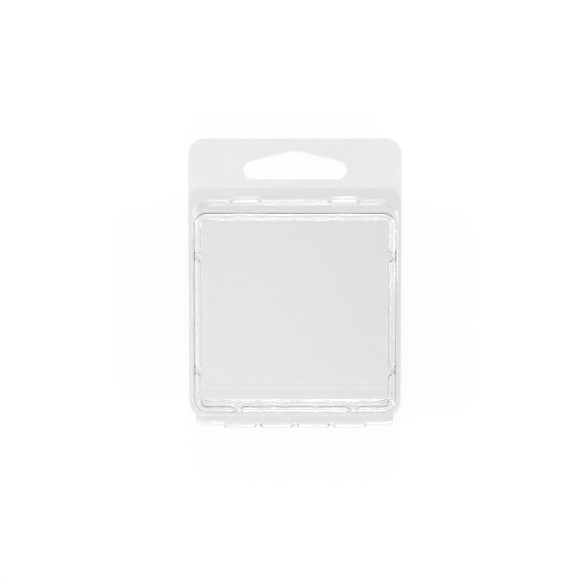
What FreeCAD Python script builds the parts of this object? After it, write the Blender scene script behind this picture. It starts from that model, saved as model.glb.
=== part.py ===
"""Clear clamshell pack with a hang tab, closed and lying on its back.

X runs across the pack, +Y towards the hang tab and +Z towards the front face.
The origin is under the middle of the pack, on the plane that its back lies on.
Each shell is drawn as the solid form that it was drawn down over, and the sheet is the
skin of that form: sheet_gauge thick, and open underneath and along its trimmed edges.
"""

import FreeCAD, Part
import Sketcher
import math
import os

# How close two coordinates are to count as the same, in millimetres
NEAR = 1e-5

# Driving dimensions, in millimetres and degrees
SIZES = {
    "sheet_gauge": 0.4,
    "closed_gap": 0.1,
    "pack_width": 66.0,
    "front_length": 72.0,
    "tab_rise": 15.1,
    "trim_radius": 5.0,
    "side_land": 1.4,
    "tab_land": 4.2,
    "hinge_land": 4.6,
    "land_radius": 0.8,
    "blister_corner": 4.8,
    "blister_draft": 2.3,
    "blister_depth": 24.1,
    "rim_radius": 1.2,
    "ledge_width": 1.9,
    "panel_corner": 2.4,
    "panel_rise": 1.3,
    "panel_draft": 15.0,
    "panel_radius": 0.7,
    "step_radius": 0.5,
    "lug_radius": 1.6,
    "lug_reach": 1.0,
    "lug_spacing": 35.0,
    "lock_width": 11.0,
    "lock_slope": 1.7,
    "lock_reach": 1.0,
    "lock_rise": 4.6,
    "lock_draft": 6.0,
    "lock_spacing": 30.5,
    "plug_rise": 3.6,
    "plug_play": 0.25,
    "plug_radius": 0.8,
    "hole_width": 32.0,
    "hole_depth": 8.9,
    "hole_end_radius": 2.95,
    "hole_peak_radius": 10.3,
    "hole_margin": 3.75,
    "hinge_inset": 2.25,
    "hinge_drop": 1.25,
    "fold_radius": 0.9,
    "joggle_lip": 0.35,
    "joggle_run": 0.8,
    "bead_drop": 1.1,
    "bead_pitch": 11.35,
    "bead_gap": 1.15,
    "bead_count": 4,
    "bead_radius": 0.5,
}

# Places that follow from the sizes, as expressions on the sheet's cells
PLACES = {
    "pack_length": "Sizes.tab_rise + Sizes.front_length + Sizes.hinge_drop + Sizes.fold_radius"
    " + Sizes.sheet_gauge / 2 + Sizes.bead_drop",
    "tab_edge": "Places.pack_length / 2",
    "front_edge": "Places.tab_edge - Sizes.tab_rise",
    "hinge_edge": "Places.front_edge - Sizes.front_length",
    "fold_line": "Places.hinge_edge - Sizes.hinge_drop",
    "fold_height": "Sizes.fold_radius + Sizes.sheet_gauge / 2",
    "front_underside": "Sizes.sheet_gauge + Sizes.closed_gap",
    "front_land": "Places.front_underside + Sizes.sheet_gauge",
    "joggle_top": "2 * Places.fold_height",
    "hinge_width": "Sizes.pack_width - 2 * Sizes.hinge_inset",
    "blister_width": "Sizes.pack_width - 2 * Sizes.side_land",
    "blister_length": "Sizes.front_length - Sizes.tab_land - Sizes.hinge_land",
    "blister_edge": "Places.front_edge - Sizes.tab_land",
    "blister_middle": "Places.blister_edge - Places.blister_length / 2",
    "blister_wall": "Sizes.blister_depth - Places.front_land",
    "panel_inset": "Places.blister_wall * tan(Sizes.blister_draft * 1 deg) + Sizes.ledge_width",
    "panel_width": "Places.blister_width - 2 * Places.panel_inset",
    "panel_length": "Places.blister_length - 2 * Places.panel_inset",
    "lug_root": "Sizes.blister_depth - Sizes.rim_radius / 2",
    "lug_out": "Sizes.lug_reach - Sizes.lug_radius",
    "plug_inset": "Sizes.sheet_gauge + Sizes.plug_play",
    "plug_width": "Places.blister_width - 2 * Places.plug_inset",
    "plug_length": "Places.blister_length - 2 * Places.plug_inset",
    "plug_corner": "Sizes.blister_corner - Places.plug_inset",
    "form_depth": "Places.joggle_top + Sizes.land_radius",
}


def make_sheet(doc):
    """The spreadsheet of driving dimensions, one named cell each."""
    sheet = doc.addObject("Spreadsheet::Sheet", "Sizes")
    for row, (name, value) in enumerate(SIZES.items(), start=1):
        sheet.set(f"A{row}", name)
        sheet.set(f"B{row}", str(value))
        sheet.setAlias(f"B{row}", name)
    doc.recompute()
    return sheet


def make_places(doc):
    """The places worked out from the sheet, as expressions that later features read."""
    places = doc.addObject("App::VarSet", "Places")
    for name, expression in PLACES.items():
        places.addProperty("App::PropertyFloat", name)
        places.setExpression(name, expression)
    doc.recompute()
    return places


def origin_feature(body, role):
    """One of the body's own origin planes or axes."""
    return next(f for f in body.Origin.OriginFeatures if f.Role == role)


def new_sketch(body, name, role, shift=None):
    """A sketch on one of the body's own planes, shifted by expressions for x, y and z."""
    sketch = body.newObject("Sketcher::SketchObject", name)
    sketch.AttachmentSupport = [(origin_feature(body, role), "")]
    sketch.MapMode = "FlatFace"
    for axis, expression in (shift or {}).items():
        sketch.setExpression(f".AttachmentOffset.Base.{axis}", expression)
    return sketch


def constrain(sketch, name, constraint, expression):
    """Adds a constraint whose value is bound to the sheet."""
    index = sketch.addConstraint(constraint)
    sketch.renameConstraint(index, name)
    sketch.setExpression(f"Constraints.{name}", expression)


def line(x0, y0, x1, y1):
    return Part.LineSegment(FreeCAD.Vector(x0, y0, 0), FreeCAD.Vector(x1, y1, 0))


def arc(x, y, radius, start, end):
    circle = Part.Circle(FreeCAD.Vector(x, y, 0), FreeCAD.Vector(0, 0, 1), radius)
    return Part.ArcOfCircle(circle, math.radians(start), math.radians(end))


def chain(sketch, first, last, kind):
    """Joins each element's end to the next one's start, and the last one's to the first's."""
    for index in range(first, last + 1):
        following = first if index == last else index + 1
        sketch.addConstraint(Sketcher.Constraint(kind, index, 2, following, 1))


def rounded_rectangle(sketch, width, length, radius):
    """A rectangle about the sketch's origin with its corners rounded, bound to expressions."""
    half, corner = 20.0, 2.0
    straight = half - corner
    sketch.addGeometry(line(-straight, -half, straight, -half))
    sketch.addGeometry(arc(straight, -straight, corner, 270, 360))
    sketch.addGeometry(line(half, -straight, half, straight))
    sketch.addGeometry(arc(straight, straight, corner, 0, 90))
    sketch.addGeometry(line(straight, half, -straight, half))
    sketch.addGeometry(arc(-straight, straight, corner, 90, 180))
    sketch.addGeometry(line(-half, straight, -half, -straight))
    sketch.addGeometry(arc(-straight, -straight, corner, 180, 270))
    chain(sketch, 0, 7, "Tangent")
    sketch.addConstraint(Sketcher.Constraint("Horizontal", 4))
    sketch.addConstraint(Sketcher.Constraint("Vertical", 6))
    for index in (1, 3, 5):
        sketch.addConstraint(Sketcher.Constraint("Equal", index, index + 2))
    sketch.addConstraint(Sketcher.Constraint("Symmetric", 0, 1, 0, 2, -2))
    sketch.addConstraint(Sketcher.Constraint("Symmetric", 2, 1, 2, 2, -1))
    constrain(sketch, "radius", Sketcher.Constraint("Radius", 1, corner), radius)
    constrain(sketch, "width", Sketcher.Constraint("DistanceX", 6, 1, 2, 1, 2 * half), width)
    constrain(sketch, "length", Sketcher.Constraint("DistanceY", 0, 1, 4, 1, 2 * half), length)


def plain_rectangle(sketch, width, length):
    """A rectangle about the sketch's origin with sharp corners, bound to expressions."""
    half = 2.0
    sketch.addGeometry(line(-half, -half, half, -half))
    sketch.addGeometry(line(half, -half, half, half))
    sketch.addGeometry(line(half, half, -half, half))
    sketch.addGeometry(line(-half, half, -half, -half))
    chain(sketch, 0, 3, "Coincident")
    sketch.addConstraint(Sketcher.Constraint("Horizontal", 2))
    sketch.addConstraint(Sketcher.Constraint("Vertical", 3))
    sketch.addConstraint(Sketcher.Constraint("Symmetric", 0, 1, 0, 2, -2))
    sketch.addConstraint(Sketcher.Constraint("Symmetric", 1, 1, 1, 2, -1))
    constrain(sketch, "width", Sketcher.Constraint("DistanceX", 0, 1, 0, 2, 2 * half), width)
    constrain(sketch, "length", Sketcher.Constraint("DistanceY", 1, 1, 1, 2, 2 * half), length)


def pad(body, name, sketch, length, taper=None, both_sides=False):
    """Pads a sketch by an expression, narrowing by taper degrees where that is given."""
    feature = body.newObject("PartDesign::Pad", name)
    feature.Profile = sketch
    feature.Midplane = both_sides
    feature.setExpression("Length", length)
    if taper:
        feature.setExpression("TaperAngle", f"-1 * {taper}")
    feature.Document.recompute()
    return feature


def pick(shape_list, prefix, wanted):
    """Sub-element names of the edges or faces for which wanted is true."""
    return [f"{prefix}{i}" for i, element in enumerate(shape_list, start=1) if wanted(element)]


def fillet(body, name, radius, wanted):
    """Rounds the edges of the body's tip for which wanted is true."""
    base = body.Tip
    edges = pick(base.Shape.Edges, "Edge", wanted)
    feature = body.newObject("PartDesign::Fillet", name)
    feature.Base = (base, edges)
    feature.setExpression("Radius", radius)
    feature.Document.recompute()
    return feature


def skin(body, name, open_face):
    """Turns the body's form into a sheet, open at the faces for which open_face is true."""
    base = body.Tip
    faces = pick(base.Shape.Faces, "Face", open_face)
    feature = body.newObject("PartDesign::Thickness", name)
    feature.Base = (base, faces)
    feature.Mode = "Skin"
    feature.Join = "Arc"
    feature.Reversed = True
    feature.setExpression("Value", "Sizes.sheet_gauge")
    feature.Document.recompute()
    return feature


def skin_above(body):
    """Leaves the sheet over a form, open underneath and along the edges that are trimmed."""
    lowest = body.Tip.Shape.BoundBox.ZMin
    return skin(body, "Sheet", lambda face: face.BoundBox.ZMin < lowest + NEAR)


def flat_at(element, height):
    """Whether an edge or face lies at one height."""
    box = element.BoundBox
    return abs(box.ZMin - height) < NEAR and abs(box.ZMax - height) < NEAR


def inside(element, half_width, low, high):
    """Whether an edge lies within a rectangle about the pack's centre line."""
    box = element.BoundBox
    across = box.XMin > -half_width + NEAR and box.XMax < half_width - NEAR
    return across and box.YMin > low + NEAR and box.YMax < high - NEAR


def within_flange(doc, element):
    """Whether an edge lies within the flange that both halves have, clear of its trimmed edge."""
    half = doc.Sizes.pack_width / 2
    return inside(element, half, doc.Places.hinge_edge, doc.Places.front_edge)


def trimmed_plate(body, length, middle, top):
    """A form's flat land, with the tongue that carries it down to the fold."""
    bottom = f"{top} - Places.form_depth"
    outline = new_sketch(body, "LandOutline", "XY_Plane", {"y": middle, "z": bottom})
    rounded_rectangle(outline, "Sizes.pack_width", length, "Sizes.trim_radius")
    pad(body, "Land", outline, "Places.form_depth")
    reach = "(Sizes.hinge_drop + 2 * Sizes.trim_radius)"
    tongue = new_sketch(
        body, "TongueOutline", "XY_Plane", {"y": f"Places.fold_line + {reach} / 2", "z": bottom}
    )
    plain_rectangle(tongue, "Places.hinge_width", reach)
    pad(body, "Tongue", tongue, "Places.form_depth")


def lock_outline(sketch, width):
    """A bulge in plan: straight inside the wall, then narrowing as it stands out of it."""
    half, narrow, out, back = 5.0, 3.5, 1.0, 2.0
    sketch.addGeometry(line(-half, -back, half, -back))
    sketch.addGeometry(line(half, -back, half, 0))
    sketch.addGeometry(line(half, 0, narrow, out))
    sketch.addGeometry(line(narrow, out, -narrow, out))
    sketch.addGeometry(line(-narrow, out, -half, 0))
    sketch.addGeometry(line(-half, 0, -half, -back))
    chain(sketch, 0, 5, "Coincident")
    sketch.addConstraint(Sketcher.Constraint("Symmetric", 0, 1, 0, 2, -2))
    sketch.addConstraint(Sketcher.Constraint("Symmetric", 3, 1, 3, 2, -2))
    sketch.addConstraint(Sketcher.Constraint("Vertical", 1))
    sketch.addConstraint(Sketcher.Constraint("Vertical", 5))
    sketch.addConstraint(Sketcher.Constraint("PointOnObject", 1, 2, -1))
    sketch.addConstraint(Sketcher.Constraint("PointOnObject", 5, 1, -1))
    constrain(sketch, "width", Sketcher.Constraint("DistanceX", 0, 1, 0, 2, 2 * half), width)
    constrain(
        sketch,
        "narrow",
        Sketcher.Constraint("DistanceX", 3, 2, 3, 1, 2 * narrow),
        f"{width} - 2 * Sizes.lock_slope",
    )
    root = Sketcher.Constraint("DistanceY", 1, 1, 1, 2, back)
    constrain(sketch, "back", root, "2 * Sizes.land_radius")
    stand = Sketcher.Constraint("DistanceY", 2, 1, 2, 2, out)
    constrain(sketch, "reach", stand, "Sizes.lock_reach")


def two_locks(body, base_line, level, rise, width):
    """The pair of snap bulges on the wall under the hang tab."""
    sketch = new_sketch(
        body, "LockOutline", "XY_Plane", {"x": "Sizes.lock_spacing / 2", "y": base_line, "z": level}
    )
    lock_outline(sketch, width)
    one = pad(body, "Lock", sketch, rise, "Sizes.lock_draft")
    pair = body.newObject("PartDesign::Mirrored", "LockPair")
    pair.Originals = [one]
    pair.MirrorPlane = (origin_feature(body, "YZ_Plane"), [""])
    body.Tip = pair
    body.Document.recompute()
    return pair


def make_front_shell(doc):
    """The front half: flange, deep blister, raised face panel with its lugs, and hinge lip."""
    body = doc.addObject("PartDesign::Body", "FrontShell")
    body.Label = "front_shell"
    trimmed_plate(
        body, "Sizes.front_length", "Places.front_edge - Sizes.front_length / 2", "Places.front_land"
    )

    joggle = new_sketch(body, "JoggleOutline", "YZ_Plane", {"x": "Places.fold_line"})
    joggle_outline(joggle)
    pad(body, "Joggle", joggle, "Places.hinge_width", both_sides=True)

    base = new_sketch(
        body, "BlisterOutline", "XY_Plane", {"y": "Places.blister_middle", "z": "Places.front_land"}
    )
    rounded_rectangle(
        base, "Places.blister_width", "Places.blister_length", "Sizes.blister_corner"
    )
    pad(body, "Blister", base, "Places.blister_wall", "Sizes.blister_draft")
    round_blister(doc, body)

    panel = new_sketch(
        body, "PanelOutline", "XY_Plane", {"y": "Places.blister_middle", "z": "Sizes.blister_depth"}
    )
    rounded_rectangle(panel, "Places.panel_width", "Places.panel_length", "Sizes.panel_corner")
    pad(body, "Panel", panel, "Sizes.panel_rise", "Sizes.panel_draft")
    step_round(doc, body)
    six_lugs(body)
    two_locks(
        body,
        "Places.blister_edge",
        "Places.front_land",
        "Sizes.lock_rise",
        "Sizes.lock_width",
    )
    skin_above(body)
    round_panel(doc, body)
    return body


def joggle_outline(sketch):
    """The lip beside the fold in section: it climbs from the land to the top of the fold.

    The sketch's origin is on the fold line, at the height of the plane that the back lies on.
    """
    low, high, run, lip = 0.6, 2.2, 1.8, 0.4
    sketch.addGeometry(line(0, low, run, low))
    sketch.addGeometry(line(run, low, lip, high))
    sketch.addGeometry(line(lip, high, 0, high))
    sketch.addGeometry(line(0, high, 0, low))
    chain(sketch, 0, 3, "Coincident")
    sketch.addConstraint(Sketcher.Constraint("Horizontal", 0))
    sketch.addConstraint(Sketcher.Constraint("Horizontal", 2))
    sketch.addConstraint(Sketcher.Constraint("PointOnObject", 0, 1, -2))
    sketch.addConstraint(Sketcher.Constraint("PointOnObject", 2, 2, -2))
    constrain(
        sketch, "low", Sketcher.Constraint("DistanceY", -1, 1, 0, 1, low), "Places.front_land"
    )
    constrain(
        sketch, "high", Sketcher.Constraint("DistanceY", -1, 1, 2, 2, high), "Places.joggle_top"
    )
    constrain(
        sketch,
        "run",
        Sketcher.Constraint("DistanceX", 0, 1, 0, 2, run),
        "Sizes.joggle_run + Sizes.joggle_lip",
    )
    constrain(sketch, "lip", Sketcher.Constraint("DistanceX", 2, 2, 2, 1, lip), "Sizes.joggle_lip")


def six_lugs(body):
    """Half-round lugs on the panel's two sides and its hinge end, a pair on each."""
    sketch = new_sketch(
        body, "LugOutline", "XY_Plane", {"y": "Places.blister_middle", "z": "Places.lug_root"}
    )
    out, apart = 20.0, 10.0
    for x, y in ((out, apart), (out, -apart), (-out, apart), (-out, -apart), (-apart, -out), (apart, -out)):
        center = FreeCAD.Vector(x, y, 0)
        sketch.addGeometry(Part.Circle(center, FreeCAD.Vector(0, 0, 1), 1.5))
    for index in range(1, 6):
        sketch.addConstraint(Sketcher.Constraint("Equal", 0, index))
    sketch.addConstraint(Sketcher.Constraint("Symmetric", 0, 3, 1, 3, -1))
    sketch.addConstraint(Sketcher.Constraint("Symmetric", 0, 3, 2, 3, -2))
    sketch.addConstraint(Sketcher.Constraint("Symmetric", 1, 3, 3, 3, -2))
    sketch.addConstraint(Sketcher.Constraint("Symmetric", 4, 3, 5, 3, -2))
    constrain(sketch, "radius", Sketcher.Constraint("Radius", 0, 1.5), "Sizes.lug_radius")
    side = Sketcher.Constraint("DistanceY", 1, 3, 0, 3, 2 * apart)
    constrain(sketch, "side_spacing", side, "Sizes.lug_spacing")
    end = Sketcher.Constraint("DistanceX", 4, 3, 5, 3, 2 * apart)
    constrain(sketch, "end_spacing", end, "Sizes.lug_spacing")
    across = Sketcher.Constraint("DistanceX", 2, 3, 0, 3, 2 * out)
    constrain(sketch, "across", across, "Places.panel_width + 2 * Places.lug_out")
    down = Sketcher.Constraint("DistanceY", 4, 3, -1, 1, out)
    constrain(sketch, "down", down, "Places.panel_length / 2 + Places.lug_out")
    height = "Sizes.blister_depth + Sizes.panel_rise - Places.lug_root"
    return pad(body, "Lugs", sketch, height, "Sizes.panel_draft")


def round_blister(doc, body):
    """The forming radii of the plain blister: along its rim, and where it meets the land."""
    rim, land = doc.Sizes.blister_depth, doc.Places.front_land
    fillet(body, "RimRound", "Sizes.rim_radius", lambda edge: flat_at(edge, rim))
    fillet(
        body,
        "LandRound",
        "Sizes.land_radius",
        lambda edge: flat_at(edge, land) and within_flange(doc, edge),
    )


def step_round(doc, body):
    """The hollow radius where the panel stands up out of the ledge."""
    ledge = doc.Sizes.blister_depth
    half_width = (doc.Places.panel_width + doc.Sizes.ledge_width) / 2
    half_length = (doc.Places.panel_length + doc.Sizes.ledge_width) / 2
    low, high = doc.Places.blister_middle - half_length, doc.Places.blister_middle + half_length
    fillet(
        body,
        "StepRound",
        "Sizes.step_radius",
        lambda edge: flat_at(edge, ledge) and inside(edge, half_width, low, high),
    )


def round_panel(doc, body):
    """The radii around the face panel, outside and in, which are made in the sheet itself."""
    top = doc.Sizes.blister_depth + doc.Sizes.panel_rise
    fillet(body, "PanelRound", "Sizes.panel_radius", lambda edge: flat_at(edge, top))
    under = top - doc.Sizes.sheet_gauge
    fillet(
        body,
        "PanelRoundInside",
        "Sizes.panel_radius - Sizes.sheet_gauge",
        lambda edge: flat_at(edge, under),
    )


def make_back_shell(doc):
    """The back half: flange with the hang tab, and the low plug that fills the blister's mouth."""
    body = doc.addObject("PartDesign::Body", "BackShell")
    body.Label = "back_shell"
    length = "(Sizes.tab_rise + Sizes.front_length)"
    trimmed_plate(body, length, f"Places.tab_edge - {length} / 2", "Sizes.sheet_gauge")
    plug = new_sketch(
        body, "PlugOutline", "XY_Plane", {"y": "Places.blister_middle", "z": "Sizes.sheet_gauge"}
    )
    rounded_rectangle(plug, "Places.plug_width", "Places.plug_length", "Places.plug_corner")
    pad(body, "Plug", plug, "Sizes.plug_rise", "Sizes.blister_draft")
    top = doc.Sizes.sheet_gauge + doc.Sizes.plug_rise
    fillet(body, "PlugRound", "Sizes.plug_radius", lambda edge: flat_at(edge, top))
    land = doc.Sizes.sheet_gauge
    fillet(
        body,
        "LandRound",
        "Sizes.land_radius",
        lambda edge: flat_at(edge, land) and within_flange(doc, edge),
    )
    two_locks(
        body,
        "Places.blister_edge - Places.plug_inset",
        "Sizes.sheet_gauge",
        "Sizes.plug_rise - Sizes.plug_radius",
        "Sizes.lock_width - 2 * Places.plug_inset",
    )
    skin_above(body)
    hole = new_sketch(
        body,
        "HangHoleOutline",
        "XY_Plane",
        {"y": "Places.tab_edge - Sizes.hole_margin - Sizes.hole_depth"},
    )
    hang_hole_outline(hole)
    cut = body.newObject("PartDesign::Pocket", "HangHole")
    cut.Profile = hole
    cut.Type = "ThroughAll"
    cut.Midplane = True
    doc.recompute()
    return body


def hang_hole_outline(sketch):
    """A peaked hang hole: flat below, round at both ends, and rising to a rounded peak.

    The sketch's origin is the middle of the flat edge.
    """
    end, peak, reach, depth, slope = 2.95, 10.3, 13.05, 8.9, 13.9
    lean = math.radians(slope)
    right = (reach + end * math.sin(lean), end + end * math.cos(lean))
    crown = (peak * math.sin(lean), depth - peak + peak * math.cos(lean))
    sketch.addGeometry(line(-reach, 0, reach, 0))
    sketch.addGeometry(arc(reach, end, end, -90, 90 - slope))
    sketch.addGeometry(line(right[0], right[1], crown[0], crown[1]))
    sketch.addGeometry(arc(0, depth - peak, peak, 90 - slope, 90 + slope))
    sketch.addGeometry(line(-crown[0], crown[1], -right[0], right[1]))
    sketch.addGeometry(arc(-reach, end, end, 90 + slope, 270))
    sketch.addGeometry(Part.Point(FreeCAD.Vector(0, depth, 0)), True)
    chain(sketch, 0, 5, "Tangent")
    sketch.addConstraint(Sketcher.Constraint("Equal", 1, 5))
    sketch.addConstraint(Sketcher.Constraint("Symmetric", 0, 1, 0, 2, -2))
    sketch.addConstraint(Sketcher.Constraint("PointOnObject", 3, 3, -2))
    sketch.addConstraint(Sketcher.Constraint("PointOnObject", 0, 1, -1))
    sketch.addConstraint(Sketcher.Constraint("PointOnObject", 6, 1, 3))
    sketch.addConstraint(Sketcher.Constraint("PointOnObject", 6, 1, -2))
    constrain(sketch, "end_radius", Sketcher.Constraint("Radius", 1, end), "Sizes.hole_end_radius")
    constrain(sketch, "peak_radius", Sketcher.Constraint("Radius", 3, peak), "Sizes.hole_peak_radius")
    constrain(
        sketch, "depth", Sketcher.Constraint("DistanceY", -1, 1, 6, 1, depth), "Sizes.hole_depth"
    )
    constrain(
        sketch,
        "reach",
        Sketcher.Constraint("DistanceX", 5, 3, 1, 3, 2 * reach),
        "Sizes.hole_width - 2 * Sizes.hole_end_radius",
    )


def make_hinge(doc):
    """The film hinge between the halves: a half-round fold with a row of stiffening beads."""
    body = doc.addObject("PartDesign::Body", "FilmHinge")
    body.Label = "film_hinge"
    middle = {"x": "Places.fold_line", "y": "Places.fold_height"}
    fold = new_sketch(body, "FoldOutline", "YZ_Plane", middle)
    fold_outline(fold)
    pad(body, "Fold", fold, "Places.hinge_width", both_sides=True)
    first = "-1 * (Sizes.bead_count - 1) / 2 * Sizes.bead_pitch"
    bead = new_sketch(body, "BeadOutline", "YZ_Plane", dict(middle, z=first))
    bead_outline(bead)
    one = pad(body, "Bead", bead, "Sizes.bead_pitch - Sizes.bead_gap", both_sides=True)
    row = body.newObject("PartDesign::LinearPattern", "BeadRow")
    row.Originals = [one]
    row.Direction = (origin_feature(body, "X_Axis"), [""])
    row.setExpression("Length", "(Sizes.bead_count - 1) * Sizes.bead_pitch")
    row.setExpression("Occurrences", "Sizes.bead_count")
    body.Tip = row
    doc.recompute()
    line_y = doc.Places.fold_line
    end = doc.Places.hinge_width / 2
    skin(
        body,
        "Sheet",
        lambda face: face.BoundBox.YMin > line_y - NEAR
        or face.BoundBox.XMin > end - NEAR
        or face.BoundBox.XMax < NEAR - end,
    )
    crown = -doc.Places.tab_edge
    fillet(
        body,
        "BeadEndRound",
        "Sizes.bead_radius",
        lambda edge: edge.BoundBox.YMin < crown + NEAR and edge.BoundBox.XLength < NEAR,
    )
    return body


def fold_outline(sketch):
    """The fold in section: a half round about the sketch's origin, open towards the pack."""
    radius = 1.1
    sketch.addGeometry(line(0, -radius, 0, radius))
    sketch.addGeometry(arc(0, 0, radius, 90, 270))
    chain(sketch, 0, 1, "Coincident")
    sketch.addConstraint(Sketcher.Constraint("Coincident", 1, 3, -1, 1))
    sketch.addConstraint(Sketcher.Constraint("Vertical", 0))
    constrain(sketch, "radius", Sketcher.Constraint("Radius", 1, radius), "Places.fold_height")


def bead_outline(sketch):
    """A bead in section: the fold's half round, let down by two short straight runs."""
    radius, low = 1.1, 1.0
    sketch.addGeometry(line(0, -radius, 0, radius))
    sketch.addGeometry(line(0, radius, -low, radius))
    sketch.addGeometry(arc(-low, 0, radius, 90, 270))
    sketch.addGeometry(line(-low, -radius, 0, -radius))
    sketch.addConstraint(Sketcher.Constraint("Coincident", 0, 2, 1, 1))
    sketch.addConstraint(Sketcher.Constraint("Tangent", 1, 2, 2, 1))
    sketch.addConstraint(Sketcher.Constraint("Tangent", 2, 2, 3, 1))
    sketch.addConstraint(Sketcher.Constraint("Coincident", 3, 2, 0, 1))
    sketch.addConstraint(Sketcher.Constraint("PointOnObject", 0, 1, -2))
    sketch.addConstraint(Sketcher.Constraint("PointOnObject", 2, 3, -1))
    sketch.addConstraint(Sketcher.Constraint("Vertical", 0))
    sketch.addConstraint(Sketcher.Constraint("Horizontal", 1))
    sketch.addConstraint(Sketcher.Constraint("Horizontal", 3))
    constrain(sketch, "radius", Sketcher.Constraint("Radius", 2, radius), "Places.fold_height")
    constrain(sketch, "drop", Sketcher.Constraint("DistanceX", 1, 2, 1, 1, low), "Sizes.bead_drop")


def check(doc, bodies):
    """Stops the script if a feature failed or a shell isn't one good solid."""
    for item in doc.Objects:
        for word in ("Invalid", "Error"):
            if word in item.State:
                raise RuntimeError(f"{item.Label} is {item.State}")
    for body in bodies:
        shape = body.Shape
        if shape.isNull() or not shape.isValid() or len(shape.Solids) != 1:
            raise RuntimeError(f"{body.Label} isn't one valid solid")


def main():
    doc = FreeCAD.newDocument("Clamshell")
    make_sheet(doc)
    make_places(doc)
    bodies = [make_back_shell(doc), make_front_shell(doc), make_hinge(doc)]
    doc.recompute()
    check(doc, bodies)
    os.makedirs("parts", exist_ok=True)
    for body in bodies:
        body.Shape.exportStep(f"parts/{body.Label}.step")
        print(f"{body.Label}: {body.Shape.Volume:.1f} mm3, {len(body.Shape.Faces)} faces")


main()
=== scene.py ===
import logging
import math
from dataclasses import dataclass
from enum import Enum

import bmesh
import bpy
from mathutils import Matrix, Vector

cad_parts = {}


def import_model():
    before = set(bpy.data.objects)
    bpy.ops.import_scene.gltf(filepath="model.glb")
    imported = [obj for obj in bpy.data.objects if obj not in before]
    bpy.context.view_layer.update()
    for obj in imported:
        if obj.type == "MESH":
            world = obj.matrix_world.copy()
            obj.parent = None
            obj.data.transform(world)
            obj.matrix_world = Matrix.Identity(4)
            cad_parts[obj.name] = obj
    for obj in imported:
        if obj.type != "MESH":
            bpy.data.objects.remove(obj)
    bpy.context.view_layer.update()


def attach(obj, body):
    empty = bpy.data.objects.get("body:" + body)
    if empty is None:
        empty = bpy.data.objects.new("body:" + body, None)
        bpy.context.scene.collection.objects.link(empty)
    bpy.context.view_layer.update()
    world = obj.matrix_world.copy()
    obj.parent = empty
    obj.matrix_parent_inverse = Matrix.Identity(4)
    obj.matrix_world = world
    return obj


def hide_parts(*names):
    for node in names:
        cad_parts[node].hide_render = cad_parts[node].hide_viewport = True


log = logging.getLogger("clamshell")

MM = 0.001
# How close two places are to count as the same, in millimetres
NEAR = 1e-4
# A way out is square to a side when one of its parts is over this
SQUARE = 0.999
# The trimmed outline is straight and flat, so its points stand far apart
OUTLINE_PITCH = 1.0
OUTLINE_CORNER_STEPS = 16


class Ray(Enum):
    """The kinds of ray that a material or the world can tell apart."""

    CAMERA = "Is Camera Ray"
    GLOSSY = "Is Glossy Ray"
    TRANSMISSION = "Is Transmission Ray"


def linear(hex_colour: str) -> tuple[float, float, float, float]:
    """Turns an sRGB hex colour to linear.

    Args:
        hex_colour: Six hex digits, red first.

    Returns:
        The colour as linear red, green, blue and an alpha of 1.
    """
    channels = [int(hex_colour[i : i + 2], 16) / 255 for i in (0, 2, 4)]
    red, green, blue = (
        c / 12.92 if c <= 0.04045 else ((c + 0.055) / 1.055) ** 2.4 for c in channels
    )
    return red, green, blue, 1.0


def add_node(
    tree: bpy.types.NodeTree,
    kind: str,
    settings: dict | None = None,
    links: dict | None = None,
) -> bpy.types.Node:
    """Adds a node to a tree, with its settings and links.

    Args:
        tree: The node tree of a material or the world.
        kind: The node's type.
        settings: Values for the node's input sockets, or its own properties, by name.
        links: Output sockets of other nodes, by the name or index of the input.

    Returns:
        The new node.
    """
    node = tree.nodes.new(kind)
    for name, value in (settings or {}).items():
        if isinstance(name, int) or name in node.inputs:
            node.inputs[name].default_value = value
        else:
            setattr(node, name, value)
    for name, output in (links or {}).items():
        tree.links.new(output, node.inputs[name])
    return node


def clear_tree(data: bpy.types.ID) -> bpy.types.NodeTree:
    """Turns nodes on and empties the tree.

    Args:
        data: The material or world that the tree belongs to.

    Returns:
        The empty tree.
    """
    data.use_nodes = True
    data.node_tree.nodes.clear()
    return data.node_tree


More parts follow.
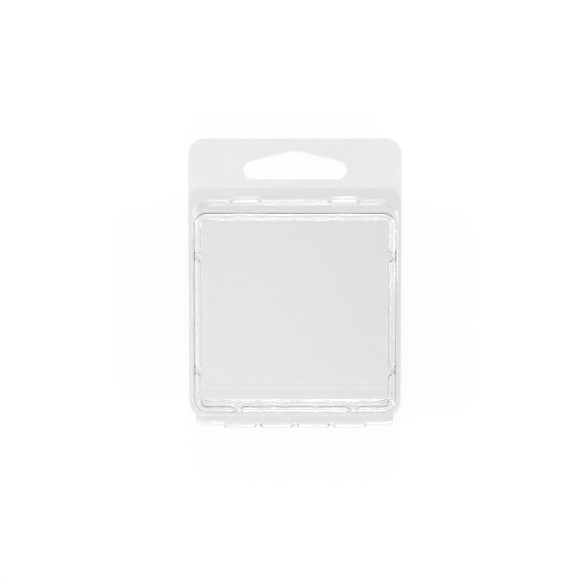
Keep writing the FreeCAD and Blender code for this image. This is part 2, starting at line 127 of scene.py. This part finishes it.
@dataclass(frozen=True)
class ClearPet:
    """Clear PET sheet, thermoformed: glass-clear, very smooth, faintly wavy where it was drawn.

    The eye sees the paper behind it a little greyed, bright lamp lines along its bends and
    thin dark lines where its walls stand on edge.
    """

    name: str = "clear PET, thermoformed"
    tint: str = "FEFEFF"
    roughness: float = 0.035
    ior: float = 1.57
    # Waves that the heated sheet keeps from the tool, 14 mm from crest to crest and under
    # half a micrometre high
    wave_mm: float = 14.0
    wave_height_mm: float = 0.0004
    wave_detail: float = 1.0
    wave_roughness: float = 0.4
    # Fine orange peel, really near 0.3 mm, drawn at 1.2 mm as finer would not show
    peel_mm: float = 1.2
    peel_height_mm: float = 0.00003

    def material(self) -> bpy.types.Material:
        """Builds the material.

        Returns:
            The new material.
        """
        pet = bpy.data.materials.new(self.name)
        tree = clear_tree(pet)
        place = add_node(tree, "ShaderNodeTexCoord").outputs["Object"]
        waves = add_node(
            tree,
            "ShaderNodeTexNoise",
            {
                "Scale": 1 / (self.wave_mm * MM),
                "Detail": self.wave_detail,
                "Roughness": self.wave_roughness,
            },
            {"Vector": place},
        )
        peel = add_node(
            tree,
            "ShaderNodeTexNoise",
            {"Scale": 1 / (self.peel_mm * MM), "Detail": self.wave_detail},
            {"Vector": place},
        )
        wave_bump = add_node(
            tree,
            "ShaderNodeBump",
            {"Strength": 1.0, "Distance": self.wave_height_mm * MM},
            {"Height": waves.outputs["Fac"]},
        )
        bump = add_node(
            tree,
            "ShaderNodeBump",
            {"Strength": 1.0, "Distance": self.peel_height_mm * MM},
            {"Height": peel.outputs["Fac"], "Normal": wave_bump.outputs["Normal"]},
        )
        shader = add_node(
            tree,
            "ShaderNodeBsdfPrincipled",
            {
                "Base Color": linear(self.tint),
                "Roughness": self.roughness,
                "IOR": self.ior,
                "Transmission Weight": 1.0,
            },
            {"Normal": bump.outputs["Normal"]},
        )
        add_node(tree, "ShaderNodeOutputMaterial", links={"Surface": shader.outputs["BSDF"]})
        return pet


@dataclass(frozen=True)
class WhitePaper:
    """White paper sweep, matt: it fills the picture with white and keeps the pack's shadow.

    The glow stands for the lit paper wherever the camera sees it, straight or through the sheet.
    """

    name: str = "white paper, matt"
    colour: str = "F8F8F8"
    glow: float = 0.88
    # Paper that is seen through the sheet lies in its shade, painted as a lower glow
    painted_shade_glow: float = 0.68
    glow_strength: float = 1.0

    def material(self) -> bpy.types.Material:
        """Builds the material.

        Returns:
            The new material.
        """
        paper = bpy.data.materials.new(self.name)
        tree = clear_tree(paper)
        seen = seen_ray(tree, tuple(Ray))
        through = seen_ray(tree, (Ray.TRANSMISSION,))
        # Through the sheet the glow drops to the lower level: painted shade under the pack
        level = add_node(
            tree,
            "ShaderNodeMath",
            {"operation": "MULTIPLY_ADD", 1: self.painted_shade_glow - self.glow, 2: self.glow},
            {0: through},
        )
        share = add_node(
            tree, "ShaderNodeMath", {"operation": "MULTIPLY"}, {0: seen, 1: level.outputs[0]}
        )
        matt = add_node(tree, "ShaderNodeBsdfDiffuse", {"Color": linear(self.colour)})
        glow = add_node(tree, "ShaderNodeEmission", {"Strength": self.glow_strength})
        both = add_node(
            tree,
            "ShaderNodeMixShader",
            links={0: share.outputs[0], 1: matt.outputs[0], 2: glow.outputs[0]},
        )
        add_node(tree, "ShaderNodeOutputMaterial", links={"Surface": both.outputs[0]})
        return paper


def seen_ray(tree: bpy.types.NodeTree, kinds: tuple[Ray, ...]) -> bpy.types.NodeSocket:
    """Adds the test for rays of the named kinds.

    Args:
        tree: The tree that gets the nodes.
        kinds: The kinds of ray to look for.

    Returns:
        A socket that is 1 for any of those rays.
    """
    path = add_node(tree, "ShaderNodeLightPath")
    found = path.outputs[kinds[0].value]
    for kind in kinds[1:]:
        found = add_node(
            tree,
            "ShaderNodeMath",
            {"operation": "MAXIMUM"},
            {0: found, 1: path.outputs[kind.value]},
        ).outputs[0]
    return found


@dataclass(frozen=True)
class Corner:
    """A point of a sheet's section: how far in from the base line, how high, and its rounding."""

    inset: float
    level: float
    radius: float = 0.0
    steps: int = 5


def rounded_section(corners: list[Corner]) -> list[tuple[float, float]]:
    """Rounds the corners of a section line.

    Args:
        corners: The section's corners in order, in millimetres.

    Returns:
        Points along the rounded line, as inset and level in millimetres.
    """
    points = []
    for before, here, after in zip([None] + corners, corners, corners[1:] + [None]):
        at = Vector((here.inset, here.level))
        if before is None or after is None or not here.radius:
            points.append((at.x, at.y))
            continue
        back = (Vector((before.inset, before.level)) - at).normalized()
        on = (Vector((after.inset, after.level)) - at).normalized()
        half = back.angle(on) / 2
        middle = at + (back + on).normalized() * here.radius / math.sin(half)
        start = at + back * here.radius / math.tan(half) - middle
        end = at + on * here.radius / math.tan(half) - middle
        sweep = math.atan2(start.cross(end), start.dot(end))
        across = Vector((-start.y, start.x))
        for step in range(here.steps + 1):
            turn = sweep * step / here.steps
            points.append(tuple(middle + start * math.cos(turn) + across * math.sin(turn)))
    return points


def smooth(value: float) -> float:
    """The smooth step of a value between 0 and 1."""
    value = min(max(value, 0.0), 1.0)
    return value * value * (3 - 2 * value)


def edges_of(items: list) -> list[bmesh.types.BMEdge]:
    """The edges among an operator's results."""
    return [item for item in items if isinstance(item, bmesh.types.BMEdge)]


def new_line(made: list) -> tuple[set[bmesh.types.BMVert], list[bmesh.types.BMEdge]]:
    """Finds the far side of what an extrusion of a line made.

    Args:
        made: The operator's results.

    Returns:
        The new corners, and the edges that join them.
    """
    new = {v for v in made if isinstance(v, bmesh.types.BMVert)}
    return new, [e for e in edges_of(made) if e.verts[0] in new and e.verts[1] in new]


def verts_of(items: list) -> list[bmesh.types.BMVert]:
    """The corners among an operator's results, or of its edges."""
    found = [item for item in items if isinstance(item, bmesh.types.BMVert)]
    return found or list({v for edge in edges_of(items) for v in edge.verts})


class DrawnSheet:
    """A thin sheet that is drawn ring by ring from a line round a rounded rectangle.

    Sizes are in millimetres until it is finished. Every corner of a ring keeps its place on
    the first line and the way outwards from there, so a ring is an inset and a level.
    """

    # Faces that meet at more than this many degrees show a sharp edge
    crease = 38.0

    def __init__(self) -> None:
        """Starts an empty sheet."""
        self.mesh = bmesh.new()
        self.base = self.mesh.verts.layers.float_vector.new("base")
        self.outward = self.mesh.verts.layers.float_vector.new("outward")

    def line_round(
        self,
        width: float,
        length: float,
        corner: float,
        middle: tuple[float, float],
        level: float,
        pitch: float = 0.3,
        corner_steps: int = 12,
    ) -> list[bmesh.types.BMEdge]:
        """Adds a closed line round a rounded rectangle.

        Args:
            width: Its width along X.
            length: Its length along Y.
            corner: Its corner radius.
            middle: Its middle, in X and Y.
            level: Its height.
            pitch: How far apart the points of its straight runs are.
            corner_steps: How many edges each corner has.

        Returns:
            The line's edges.
        """
        mesh = self.mesh
        known = set(mesh.edges)
        made = bmesh.ops.create_grid(mesh, x_segments=1, y_segments=1, size=0.5)["verts"]
        bmesh.ops.scale(mesh, verts=made, vec=(width, length, 1))
        bmesh.ops.translate(mesh, verts=made, vec=(*middle, level))
        bmesh.ops.bevel(
            mesh,
            geom=made,
            offset=corner,
            offset_type="OFFSET",
            affect="VERTICES",
            segments=corner_steps,
            profile=0.5,
            material=-1,
        )
        line = [e for e in mesh.edges if e not in known]
        face = max(line[0].link_faces, key=lambda f: len(f.verts))
        longest = 2 * pitch + math.pi * corner / corner_steps
        for run in [e for e in line if e.calc_length() > longest]:
            cuts = round(run.calc_length() / pitch) - 1
            bmesh.ops.subdivide_edges(mesh, edges=[run], cuts=cuts)
        bmesh.ops.delete(mesh, geom=[face], context="FACES_ONLY")
        line = [e for e in mesh.edges if e not in known]
        reach = Vector((width / 2 - corner, length / 2 - corner))
        for vert in verts_of(line):
            x, y = vert.co.x - middle[0], vert.co.y - middle[1]
            inner = Vector((min(max(x, -reach.x), reach.x), min(max(y, -reach.y), reach.y)))
            vert[self.base] = vert.co
            vert[self.outward] = (Vector((x, y)) - inner).normalized().to_3d()
        return line

    def shaped(self, base: Vector, outward: Vector, inset: float, level: float) -> float:
        """The inset that a point has once local forms are pressed in: here, none are."""
        return inset

    def set_ring(self, verts: list[bmesh.types.BMVert], inset: float, level: float) -> None:
        """Puts a ring's corners at an inset and a level.

        Args:
            verts: The ring's corners.
            inset: How far in from the first line they go.
            level: Their height.
        """
        for vert in verts:
            base, outward = vert[self.base], vert[self.outward]
            vert.co = base - outward * self.shaped(base, outward, inset, level)
            vert.co.z = level

    def draw(
        self, ring: list[bmesh.types.BMEdge], section: list[tuple[float, float]]
    ) -> list[bmesh.types.BMEdge]:
        """Draws the sheet along a section.

        Args:
            ring: The edges of the first ring, which is moved to the section's first point.
            section: Insets and levels.

        Returns:
            The last ring's edges.
        """
        self.set_ring(verts_of(ring), *section[0])
        for inset, level in section[1:]:
            made = bmesh.ops.extrude_edge_only(self.mesh, edges=ring)["geom"]
            new, ring = new_line(made)
            self.set_ring(list(new), inset, level)
        return ring

    def fill(self, edges: list[bmesh.types.BMEdge]) -> None:
        """Fills a flat place between closed lines, the inner ones being its holes."""
        bmesh.ops.triangle_fill(
            self.mesh, use_beauty=True, use_dissolve=False, normal=(0, 0, 1), edges=edges
        )

    def finish(self, name: str, gauge: float, upward: bool = True) -> bpy.types.Object:
        """Gives the sheet its thickness and makes it an object.

        Args:
            name: The piece's name.
            gauge: The sheet's thickness, below the drawn face.
            upward: Whether the drawn face looks up.

        Returns:
            The object, at the origin and in metres.
        """
        mesh = self.mesh
        bmesh.ops.remove_doubles(mesh, verts=mesh.verts, dist=NEAR)
        bmesh.ops.recalc_face_normals(mesh, faces=mesh.faces)
        highest = max(mesh.faces, key=lambda f: f.calc_center_median().z)
        if (highest.normal.z > 0) != upward:
            bmesh.ops.reverse_faces(mesh, faces=mesh.faces)
        bmesh.ops.scale(mesh, verts=mesh.verts, vec=(MM, MM, MM))
        drawn = bpy.data.meshes.new(name)
        mesh.to_mesh(drawn)
        mesh.free()
        for layer in ("base", "outward"):
            drawn.attributes.remove(drawn.attributes[layer])
        piece = bpy.data.objects.new(name, drawn)
        bpy.context.scene.collection.objects.link(piece)
        wall = piece.modifiers.new("gauge", "SOLIDIFY")
        wall.thickness = gauge * MM
        wall.offset = -1.0
        wall.use_even_offset = True
        wall.use_quality_normals = True
        ready = piece.evaluated_get(bpy.context.evaluated_depsgraph_get())
        piece.data = bpy.data.meshes.new_from_object(ready)
        piece.modifiers.clear()
        bpy.data.meshes.remove(drawn)
        piece.data.name = name
        piece.data.shade_smooth()
        piece.data.set_sharp_from_angle(angle=math.radians(self.crease))
        return piece


@dataclass
class PackSizes:
    """Sizes that the sheets share, in millimetres."""

    gauge: float = 0.4
    width: float = 66.0
    trim_radius: float = 5.0
    tab_edge: float = 45.275
    front_edge: float = 30.175
    hinge_edge: float = -41.825
    fold_line: float = -43.075
    fold_top: float = 2.2
    strip_width: float = 61.5
    blister: float = 63.2
    blister_corner: float = 4.8
    middle: float = -5.625
    draft: float = 2.3
    lock_places: tuple[float, float] = (-15.25, 15.25)
    lug_places: tuple[float, float] = (-17.5, 17.5)

    def strip_root(self) -> float:
        """Where the strip's sides leave the rounded corners of the flange, in Y."""
        across = self.strip_width / 2 - (self.width / 2 - self.trim_radius)
        return self.hinge_edge + self.trim_radius - math.sqrt(self.trim_radius**2 - across**2)


@dataclass
class Lock:
    """A snap bulge on the tab side of a wall, in millimetres and degrees."""

    width: float
    rise: float
    slope: float = 1.7
    reach: float = 1.0
    draft: float = 6.0
    top: float = 1.5

    def bulge(self, across: float, rise: float, wall_draft: float) -> float:
        """How far it stands out at a point of the wall.

        Args:
            across: The distance across from the bulge's middle.
            rise: The height over the flange.
            wall_draft: How much the wall itself leans, in degrees.

        Returns:
            The distance out from the wall.
        """
        plan = smooth((self.width / 2 - abs(across)) / self.slope)
        lean = math.tan(math.radians(self.draft)) - math.tan(math.radians(wall_draft))
        out = self.reach - max(rise, 0.0) * lean
        return plan * out * smooth((self.rise - rise) / self.top + 0.5)


@dataclass
class Lug:
    """A half-round lug on the side of the raised panel, in millimetres."""

    half_width: float = 1.6
    reach: float = 0.85
    # It starts this far below the ledge, and grows along this much of the ledge's width
    depth: float = 1.5
    run: float = 1.4
    # It ends at this inset, on the panel's top, and fades over this much before
    end: float = 4.3
    fade: float = 0.4

    def bulge(self, along: float) -> float:
        """How far it stands out, at a distance along the wall from its middle."""
        return self.reach * math.sqrt(max(1 - (along / self.half_width) ** 2, 0.0))


class FrontSheet(DrawnSheet):
    """The front shell's sheet, with its lugs and locks."""

    def __init__(self, sizes: PackSizes, lock: Lock, lug: Lug, land: float, ledge: float) -> None:
        """Keeps the local forms and the heights that they stand on.

        Args:
            sizes: The pack's sizes.
            lock: The form of a snap bulge.
            lug: The form of a lug.
            land: The flange's level.
            ledge: The level of the ledge round the panel.
        """
        super().__init__()
        self.sizes, self.lock, self.lug, self.land, self.ledge = sizes, lock, lug, land, ledge
        self.wall_top = (ledge - land) * math.tan(math.radians(sizes.draft))

    def shaped(self, base: Vector, outward: Vector, inset: float, level: float) -> float:
        """Presses the locks and the lugs in: the tab side has locks, the other three have lugs.

        Args:
            base: The point's place on the first line.
            outward: The way outwards from there.
            inset: The inset that the section gives it.
            level: Its height.

        Returns:
            The inset that it gets.
        """
        lug = self.lug
        if outward.y > SQUARE and level < self.ledge / 2:
            for place in self.sizes.lock_places:
                inset -= self.lock.bulge(base.x - place, level - self.land, self.sizes.draft)
        along = base.y - self.sizes.middle if abs(outward.x) > SQUARE else base.x
        square = max(map(abs, outward)) > SQUARE
        if square and outward.y < 1 - SQUARE and level > self.ledge - lug.depth:
            for place in self.sizes.lug_places:
                bulge = lug.bulge(along - place)
                if inset > self.wall_top + lug.run:
                    inset -= bulge * smooth((lug.end - inset) / lug.fade)
                else:
                    inset -= bulge * max(inset - self.wall_top, 0.0) / lug.run
        return inset


class BackSheet(DrawnSheet):
    """The back shell's sheet, with the locks of its plug."""

    def __init__(self, sizes: PackSizes, lock: Lock, land: float) -> None:
        """Keeps the locks and the height that they stand on."""
        super().__init__()
        self.sizes, self.lock, self.land = sizes, lock, land

    def shaped(self, base: Vector, outward: Vector, inset: float, level: float) -> float:
        """Presses the locks in, on the tab side.

        Args:
            base: The point's place on the first line.
            outward: The way outwards from there.
            inset: The inset that the section gives it.
            level: Its height.

        Returns:
            The inset that it gets.
        """
        if outward.y > SQUARE:
            for place in self.sizes.lock_places:
                inset -= self.lock.bulge(base.x - place, level - self.land, self.sizes.draft)
        return inset


def strip_edges(
    sheet: DrawnSheet, outline: list[bmesh.types.BMEdge], sizes: PackSizes
) -> list[bmesh.types.BMEdge]:
    """Squares off the hinge side of an outline, where the strip to the hinge leaves it.

    Args:
        sheet: The sheet that the outline belongs to.
        outline: The edges round the trimmed sheet.
        sizes: The pack's sizes.

    Returns:
        The edges that the strip is drawn from.
    """
    half, root = sizes.strip_width / 2, sizes.strip_root()
    low = [v for v in verts_of(outline) if v.co.y < root + OUTLINE_PITCH]
    for side in (-1, 1):
        nearest = min(low, key=lambda v: (v.co.xy - Vector((side * half, root))).length)
        nearest.co.xy = (side * half, root)
    inside = {v for v in low if abs(v.co.x) < half + NEAR}
    for vert in inside:
        vert.co.y = root
    return [e for e in outline if e.verts[0] in inside and e.verts[1] in inside]


def draw_strip(
    sheet: DrawnSheet, edges: list[bmesh.types.BMEdge], section: list[tuple[float, float]]
) -> None:
    """Draws the strip that leads to the hinge.

    Args:
        sheet: The sheet that it belongs to.
        edges: The edges that it leaves.
        section: Places in Y and levels, in order.
    """
    for y, level in section:
        made = bmesh.ops.extrude_edge_only(sheet.mesh, edges=edges)["geom"]
        new, edges = new_line(made)
        for vert in new:
            vert.co.y, vert.co.z = y, level


@dataclass
class BackShell:
    """The back sheet: a flat flange with the hang tab, and the shallow plug in its middle.

    Sizes are in millimetres and degrees. hole_base and hole_peak are places in Y, and
    hole_end is one in X, out from the middle.
    """

    sizes: PackSizes
    land: float = 0.4
    plug_inset: float = 0.65
    plug_top: float = 4.0
    plug_radius: float = 0.6
    plug_draft: float = 3.0
    foot_radius: float = 0.35
    lock_width: float = 9.7
    lock_rise: float = 2.8
    hole_base: float = 32.625
    hole_end_radius: float = 2.95
    hole_end: float = 13.05
    hole_peak: float = 41.525
    hole_peak_radius: float = 10.3
    hole_slope: float = 13.9
    hole_end_steps: int = 24
    hole_peak_steps: int = 10
    # How far the bend at the plug's foot and its flat top are drawn before the fills take over
    foot_run: float = 0.8
    top_run: float = 2.4
    # Levels of the rings on the plug's wall, close together where the locks curve
    wall_levels: tuple[float, ...] = (0.9, 1.4, 1.9, 2.3, 2.5)

    def hang_hole(self, sheet: DrawnSheet) -> list[bmesh.types.BMEdge]:
        """Adds the line round the hang hole.

        Args:
            sheet: The sheet that gets it.

        Returns:
            Its edges.
        """
        mesh = sheet.mesh
        slope = math.radians(self.hole_slope)
        end_y = self.hole_base + self.hole_end_radius
        peak_y = self.hole_peak - self.hole_peak_radius
        end = (self.hole_end_radius, self.hole_end_steps, math.pi - slope)
        peak = (self.hole_peak_radius, self.hole_peak_steps, 2 * slope)
        arcs = (
            (self.hole_end, end_y, -math.pi / 2, end),
            (0.0, peak_y, math.pi / 2 - slope, peak),
            (-self.hole_end, end_y, math.pi / 2 + slope, end),
        )
        ends, line = [], []
        for x, y, start, (radius, steps, turn) in arcs:
            at = (x + radius * math.cos(start), y + radius * math.sin(start), self.land)
            first = bmesh.ops.create_vert(mesh, co=at)["vert"][0]
            known = set(mesh.edges)
            made = bmesh.ops.spin(
                mesh,
                geom=[first],
                cent=(x, y, self.land),
                axis=(0, 0, 1),
                angle=turn,
                steps=steps,
                use_merge=False,
            )["geom_last"]
            line += [e for e in mesh.edges if e not in known]
            ends.append((first, verts_of(made)[0]))
        for (_, last), (first, _) in zip(ends, ends[1:] + ends[:1]):
            line.append(mesh.edges.new((last, first)))
        return line

    def build(self) -> bpy.types.Object:
        """Builds the sheet.

        Returns:
            The piece.
        """
        sizes = self.sizes
        sheet = BackSheet(sizes, Lock(self.lock_width, self.lock_rise), self.land)
        side = sizes.blister - 2 * self.plug_inset
        ring = sheet.line_round(
            side, side, sizes.blister_corner - self.plug_inset, (0, sizes.middle), self.land
        )
        length = sizes.tab_edge - sizes.hinge_edge
        outline = sheet.line_round(
            sizes.width,
            length,
            sizes.trim_radius,
            (0, sizes.tab_edge - length / 2),
            self.land,
            OUTLINE_PITCH,
            OUTLINE_CORNER_STEPS,
        )
        drift = math.tan(math.radians(self.plug_draft))
        wall = [Corner((level - self.land) * drift, level) for level in self.wall_levels]
        section = rounded_section([
            Corner(-self.foot_run, self.land),
            Corner(0.0, self.land, self.foot_radius, 4),
            *wall,
            Corner((self.plug_top - self.land) * drift, self.plug_top, self.plug_radius, 8),
            Corner(self.top_run, self.plug_top),
        ])
        strip = strip_edges(sheet, outline, sizes)
        last = sheet.draw(ring, section)
        hole = self.hang_hole(sheet)
        sheet.fill(last)
        sheet.fill([*outline, *ring, *hole])
        draw_strip(sheet, strip, [(sizes.hinge_edge, self.land), (sizes.fold_line, self.land)])
        return sheet.finish("back_sheet", sizes.gauge)


@dataclass
class FrontShell:
    """The front sheet: a flange round the blister, whose raised panel is the pack's face.

    Sizes are in millimetres and degrees.
    """

    sizes: PackSizes
    land: float = 0.9
    land_radius: float = 0.6
    ledge: float = 24.1
    ledge_width: float = 1.5
    rim_radius: float = 0.9
    panel_rise: float = 1.3
    panel_draft: float = 15.0
    step_radius: float = 0.35
    panel_radius: float = 0.4
    joggle_lip: float = 0.35
    joggle_run: float = 1.25
    joggle_radius: float = 0.3
    lock_width: float = 11.0
    lock_rise: float = 4.6
    # How far the bend at the blister's foot and the panel are drawn before the fills take over
    foot_run: float = 1.0
    panel_run: float = 1.2
    # Levels of the rings on the blister's wall, close together where the locks end
    wall_levels: tuple[float, ...] = (
        *(2.2, 3.0, 4.0, 4.7, 5.0, 5.15, 5.3, 5.45, 5.6, 5.75, 5.9, 6.1),
        *(9.0, 13.0, 17.0, 20.5),
    )

    def build(self) -> bpy.types.Object:
        """Builds the sheet.

        Returns:
            The piece.
        """
        sizes = self.sizes
        lock = Lock(self.lock_width, self.lock_rise)
        sheet = FrontSheet(sizes, lock, Lug(), self.land, self.ledge)
        ring = sheet.line_round(
            sizes.blister, sizes.blister, sizes.blister_corner, (0, sizes.middle), self.land
        )
        length = sizes.front_edge - sizes.hinge_edge
        outline = sheet.line_round(
            sizes.width,
            length,
            sizes.trim_radius,
            (0, sizes.front_edge - length / 2),
            self.land,
            OUTLINE_PITCH,
            OUTLINE_CORNER_STEPS,
        )
        drift = math.tan(math.radians(sizes.draft))
        wall = [Corner((level - self.land) * drift, level) for level in self.wall_levels]
        rim = (self.ledge - self.land) * drift
        step = rim + self.ledge_width
        panel = step + self.panel_rise * math.tan(math.radians(self.panel_draft))
        top = self.ledge + self.panel_rise
        section = rounded_section([
            Corner(-self.foot_run, self.land),
            Corner(0.0, self.land, self.land_radius, 6),
            *wall,
            Corner(rim, self.ledge, self.rim_radius, 9),
            Corner(step, self.ledge, self.step_radius, 5),
            Corner(panel, top, self.panel_radius, 7),
            Corner(panel + self.panel_run, top),
        ])
        strip = strip_edges(sheet, outline, sizes)
        last = sheet.draw(ring, section)
        sheet.fill(last)
        sheet.fill([*outline, *ring])
        lip = sizes.fold_line + self.joggle_lip
        run = lip + self.joggle_run
        joggle = rounded_section([
            Corner(sizes.strip_root(), self.land),
            Corner(run, self.land, self.joggle_radius, 4),
            Corner(lip, sizes.fold_top, self.joggle_radius, 4),
            Corner(sizes.fold_line, sizes.fold_top),
        ])
        draw_strip(sheet, strip, joggle[1:])
        return sheet.finish("front_sheet", sizes.gauge)


@dataclass
class FilmHinge:
    """The folded strip between the sheets, with four beads pressed into it.

    The strip stands out most along the beads, less in the gaps between them, and slopes back
    to nothing at its two ends.
    """

    sizes: PackSizes
    radius: float = 1.1
    fold_steps: int = 20
    # The strip stands out by its full drop from this far beyond the fold line on
    bend: float = 0.35
    bead_drop: float = 1.1
    gap_drop: float = 0.45
    bead_pitch: float = 11.35
    bead_gap: float = 1.15
    bead_end: float = 0.6
    bead_count: int = 4
    pitch: float = 0.15

    def drop(self, x: float) -> float:
        """How far the strip stands out.

        Args:
            x: The place across it.

        Returns:
            The distance out from the plain fold.
        """
        span = self.bead_pitch * self.bead_count
        past = abs(x) - span / 2
        if past > 0:
            return self.gap_drop * (1 - 2 * past / (self.sizes.strip_width - span))
        along = (x + span / 2) % self.bead_pitch
        to_end = min(along, self.bead_pitch - along) - self.bead_gap / 2
        rise = smooth(to_end / self.bead_end) ** 0.5
        return self.gap_drop + (self.bead_drop - self.gap_drop) * rise

    def build(self) -> bpy.types.Object:
        """Builds the strip.

        Returns:
            The piece.
        """
        sizes = self.sizes
        sheet = DrawnSheet()
        mesh = sheet.mesh
        half = sizes.strip_width / 2
        axis = (-half, sizes.fold_line, self.radius)
        top = bmesh.ops.create_vert(mesh, co=(-half, sizes.fold_line, sizes.fold_top))["vert"][0]
        bmesh.ops.spin(
            mesh,
            geom=[top],
            cent=axis,
            axis=(1, 0, 0),
            angle=math.pi,
            steps=self.fold_steps,
            use_merge=False,
        )
        line = list(mesh.edges)
        for _ in range(round(sizes.strip_width / self.pitch)):
            made = bmesh.ops.extrude_edge_only(mesh, edges=line)["geom"]
            new, line = new_line(made)
            bmesh.ops.translate(mesh, verts=list(new), vec=(self.pitch, 0, 0))
        for vert in mesh.verts:
            out = sizes.fold_line - vert.co.y
            vert.co.y -= self.drop(vert.co.x) * smooth(out / self.bend)
        return sheet.finish("hinge_film", sizes.gauge)


@dataclass(frozen=True)
class StripLamp:
    """A soft lamp, its place in metres and its power in watts."""

    name: str
    place: tuple[float, float, float]
    watts: float
    size: tuple[float, float] = (0.28, 0.2)

    def hang(self) -> None:
        """Adds the lamp, turned so that it looks at the pack."""
        data = bpy.data.lights.new(self.name, "AREA")
        data.shape = "RECTANGLE"
        data.size, data.size_y = self.size
        data.energy = self.watts
        lamp = bpy.data.objects.new(self.name, data)
        bpy.context.scene.collection.objects.link(lamp)
        lamp.location = self.place
        lamp.rotation_euler = (-Vector(self.place)).to_track_quat("-Z", "Y").to_euler()


@dataclass
class Studio:
    """The white sweep, its soft lamps and the camera above it.

    Lengths are in metres, apart from the lens and its sensor, which are in millimetres.
    """

    camera_distance: float = 1000 * MM
    lean: float = math.radians(8.4)
    lens: float = 197.7
    sensor: float = 36.0
    target: tuple[float, float, float] = (-0.75 * MM, -2.75 * MM, 0.0)
    # The paper is 3 m square and lies a hair below the pack
    paper_reach: float = 1.5
    paper_squares: int = 8
    paper_gap: float = 0.05 * MM
    world_level: float = 0.32
    # The ceiling has one soft panel with a feathered edge, and white walls stand round it
    ceiling_level: float = 0.76
    panel_level: float = 1.7
    panel_way: tuple[float, float, float] = (0.75, 0.66, 0.0)
    panel_edge: tuple[float, float] = (-0.24, -0.03)
    wall_edge: tuple[float, float] = (0.3, 0.75)
    # Light runs far inside a wall that is seen on edge before it leaves it
    bounces: int = 39
    lamps: tuple[StripLamp, ...] = (
        StripLamp("tab_side_strip", (0.0, 0.7, 0.72), 3.8),
        StripLamp("left_strip", (-0.7, 0.1, 0.72), 3.6),
        StripLamp("hinge_side_strip", (0.1, -0.75, 0.66), 3.0),
        StripLamp("right_strip", (0.74, 0.0, 0.68), 2.2),
    )

    def camera(self) -> None:
        """Adds the camera, looking down and leaning a little from the tab's side."""
        data = bpy.data.cameras.new("photo_camera")
        data.lens = self.lens
        data.sensor_width = self.sensor
        camera = bpy.data.objects.new("photo_camera", data)
        bpy.context.scene.collection.objects.link(camera)
        back = Vector((0, math.sin(self.lean), math.cos(self.lean)))
        camera.location = Vector(self.target) + self.camera_distance * back
        camera.rotation_euler = (-self.lean, 0, 0)
        bpy.context.scene.camera = camera

    def floor(self) -> None:
        """Adds the paper that the pack lies on."""
        mesh = bmesh.new()
        squares = self.paper_squares
        bmesh.ops.create_grid(mesh, x_segments=squares, y_segments=squares, size=self.paper_reach)
        bmesh.ops.translate(mesh, verts=mesh.verts, vec=(0, 0, -self.paper_gap))
        data = bpy.data.meshes.new("paper_sweep")
        mesh.to_mesh(data)
        mesh.free()
        paper = bpy.data.objects.new("paper_sweep", data)
        bpy.context.scene.collection.objects.link(paper)
        data.materials.append(WhitePaper().material())

    def world(self) -> None:
        """Lights the studio's air evenly, and shows it white."""
        world = bpy.data.worlds.new("studio_air")
        bpy.context.scene.world = world
        tree = clear_tree(world)
        way = add_node(tree, "ShaderNodeTexCoord").outputs["Generated"]
        across = add_node(
            tree,
            "ShaderNodeVectorMath",
            {"operation": "DOT_PRODUCT", 1: self.panel_way},
            {0: way},
        )
        panel = add_node(
            tree,
            "ShaderNodeMapRange",
            {
                "interpolation_type": "SMOOTHSTEP",
                "From Min": self.panel_edge[0],
                "From Max": self.panel_edge[1],
                "To Min": self.panel_level,
                "To Max": self.ceiling_level,
            },
            {"Value": across.outputs["Value"]},
        )
        height = add_node(tree, "ShaderNodeSeparateXYZ", links={0: way}).outputs["Z"]
        wall = add_node(
            tree,
            "ShaderNodeMapRange",
            {
                "interpolation_type": "SMOOTHSTEP",
                "From Min": self.wall_edge[0],
                "From Max": self.wall_edge[1],
                "To Min": 1.0,
                "To Max": 0.0,
            },
            {"Value": height},
        )
        tent = add_node(
            tree,
            "ShaderNodeMix",
            {"data_type": "FLOAT", 3: 1.0},
            {0: wall.outputs["Result"], 2: panel.outputs["Result"]},
        )
        # Light that has already left a matt surface gets the even level only
        path = add_node(tree, "ShaderNodeLightPath")
        direct = add_node(
            tree,
            "ShaderNodeMath",
            {"operation": "LESS_THAN", 1: 0.5},
            {0: path.outputs["Diffuse Depth"]},
        )
        shown = add_node(
            tree,
            "ShaderNodeMix",
            {"data_type": "FLOAT", 2: self.world_level},
            {0: direct.outputs[0], 3: tent.outputs[0]},
        )
        level = add_node(
            tree,
            "ShaderNodeMix",
            {"data_type": "FLOAT", 3: 1.0},
            {0: seen_ray(tree, (Ray.CAMERA,)), 2: shown.outputs[0]},
        )
        air = add_node(tree, "ShaderNodeBackground", links={"Strength": level.outputs[0]})
        add_node(tree, "ShaderNodeOutputWorld", links={"Surface": air.outputs[0]})

    def build(self) -> None:
        """Sets the studio up."""
        scene = bpy.context.scene
        scene.view_settings.view_transform = "Standard"
        scene.cycles.max_bounces = self.bounces
        scene.cycles.glossy_bounces = self.bounces
        scene.cycles.transmission_bounces = self.bounces
        self.camera()
        self.floor()
        self.world()
        for lamp in self.lamps:
            lamp.hang()


def main() -> None:
    """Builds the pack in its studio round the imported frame."""
    logging.basicConfig(level=logging.INFO)
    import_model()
    sizes = PackSizes()
    pet = ClearPet().material()
    for maker, node, body in (
        (BackShell(sizes), "back_shell", "back"),
        (FrontShell(sizes), "front_shell", "front"),
        (FilmHinge(sizes), "film_hinge", "hinge"),
    ):
        piece = maker.build()
        piece.data.materials.append(pet)
        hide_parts(node)
        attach(piece, body)
        log.info("%s has %d faces", piece.name, len(piece.data.polygons))
    Studio().build()


if __name__ == "__main__":
    main()
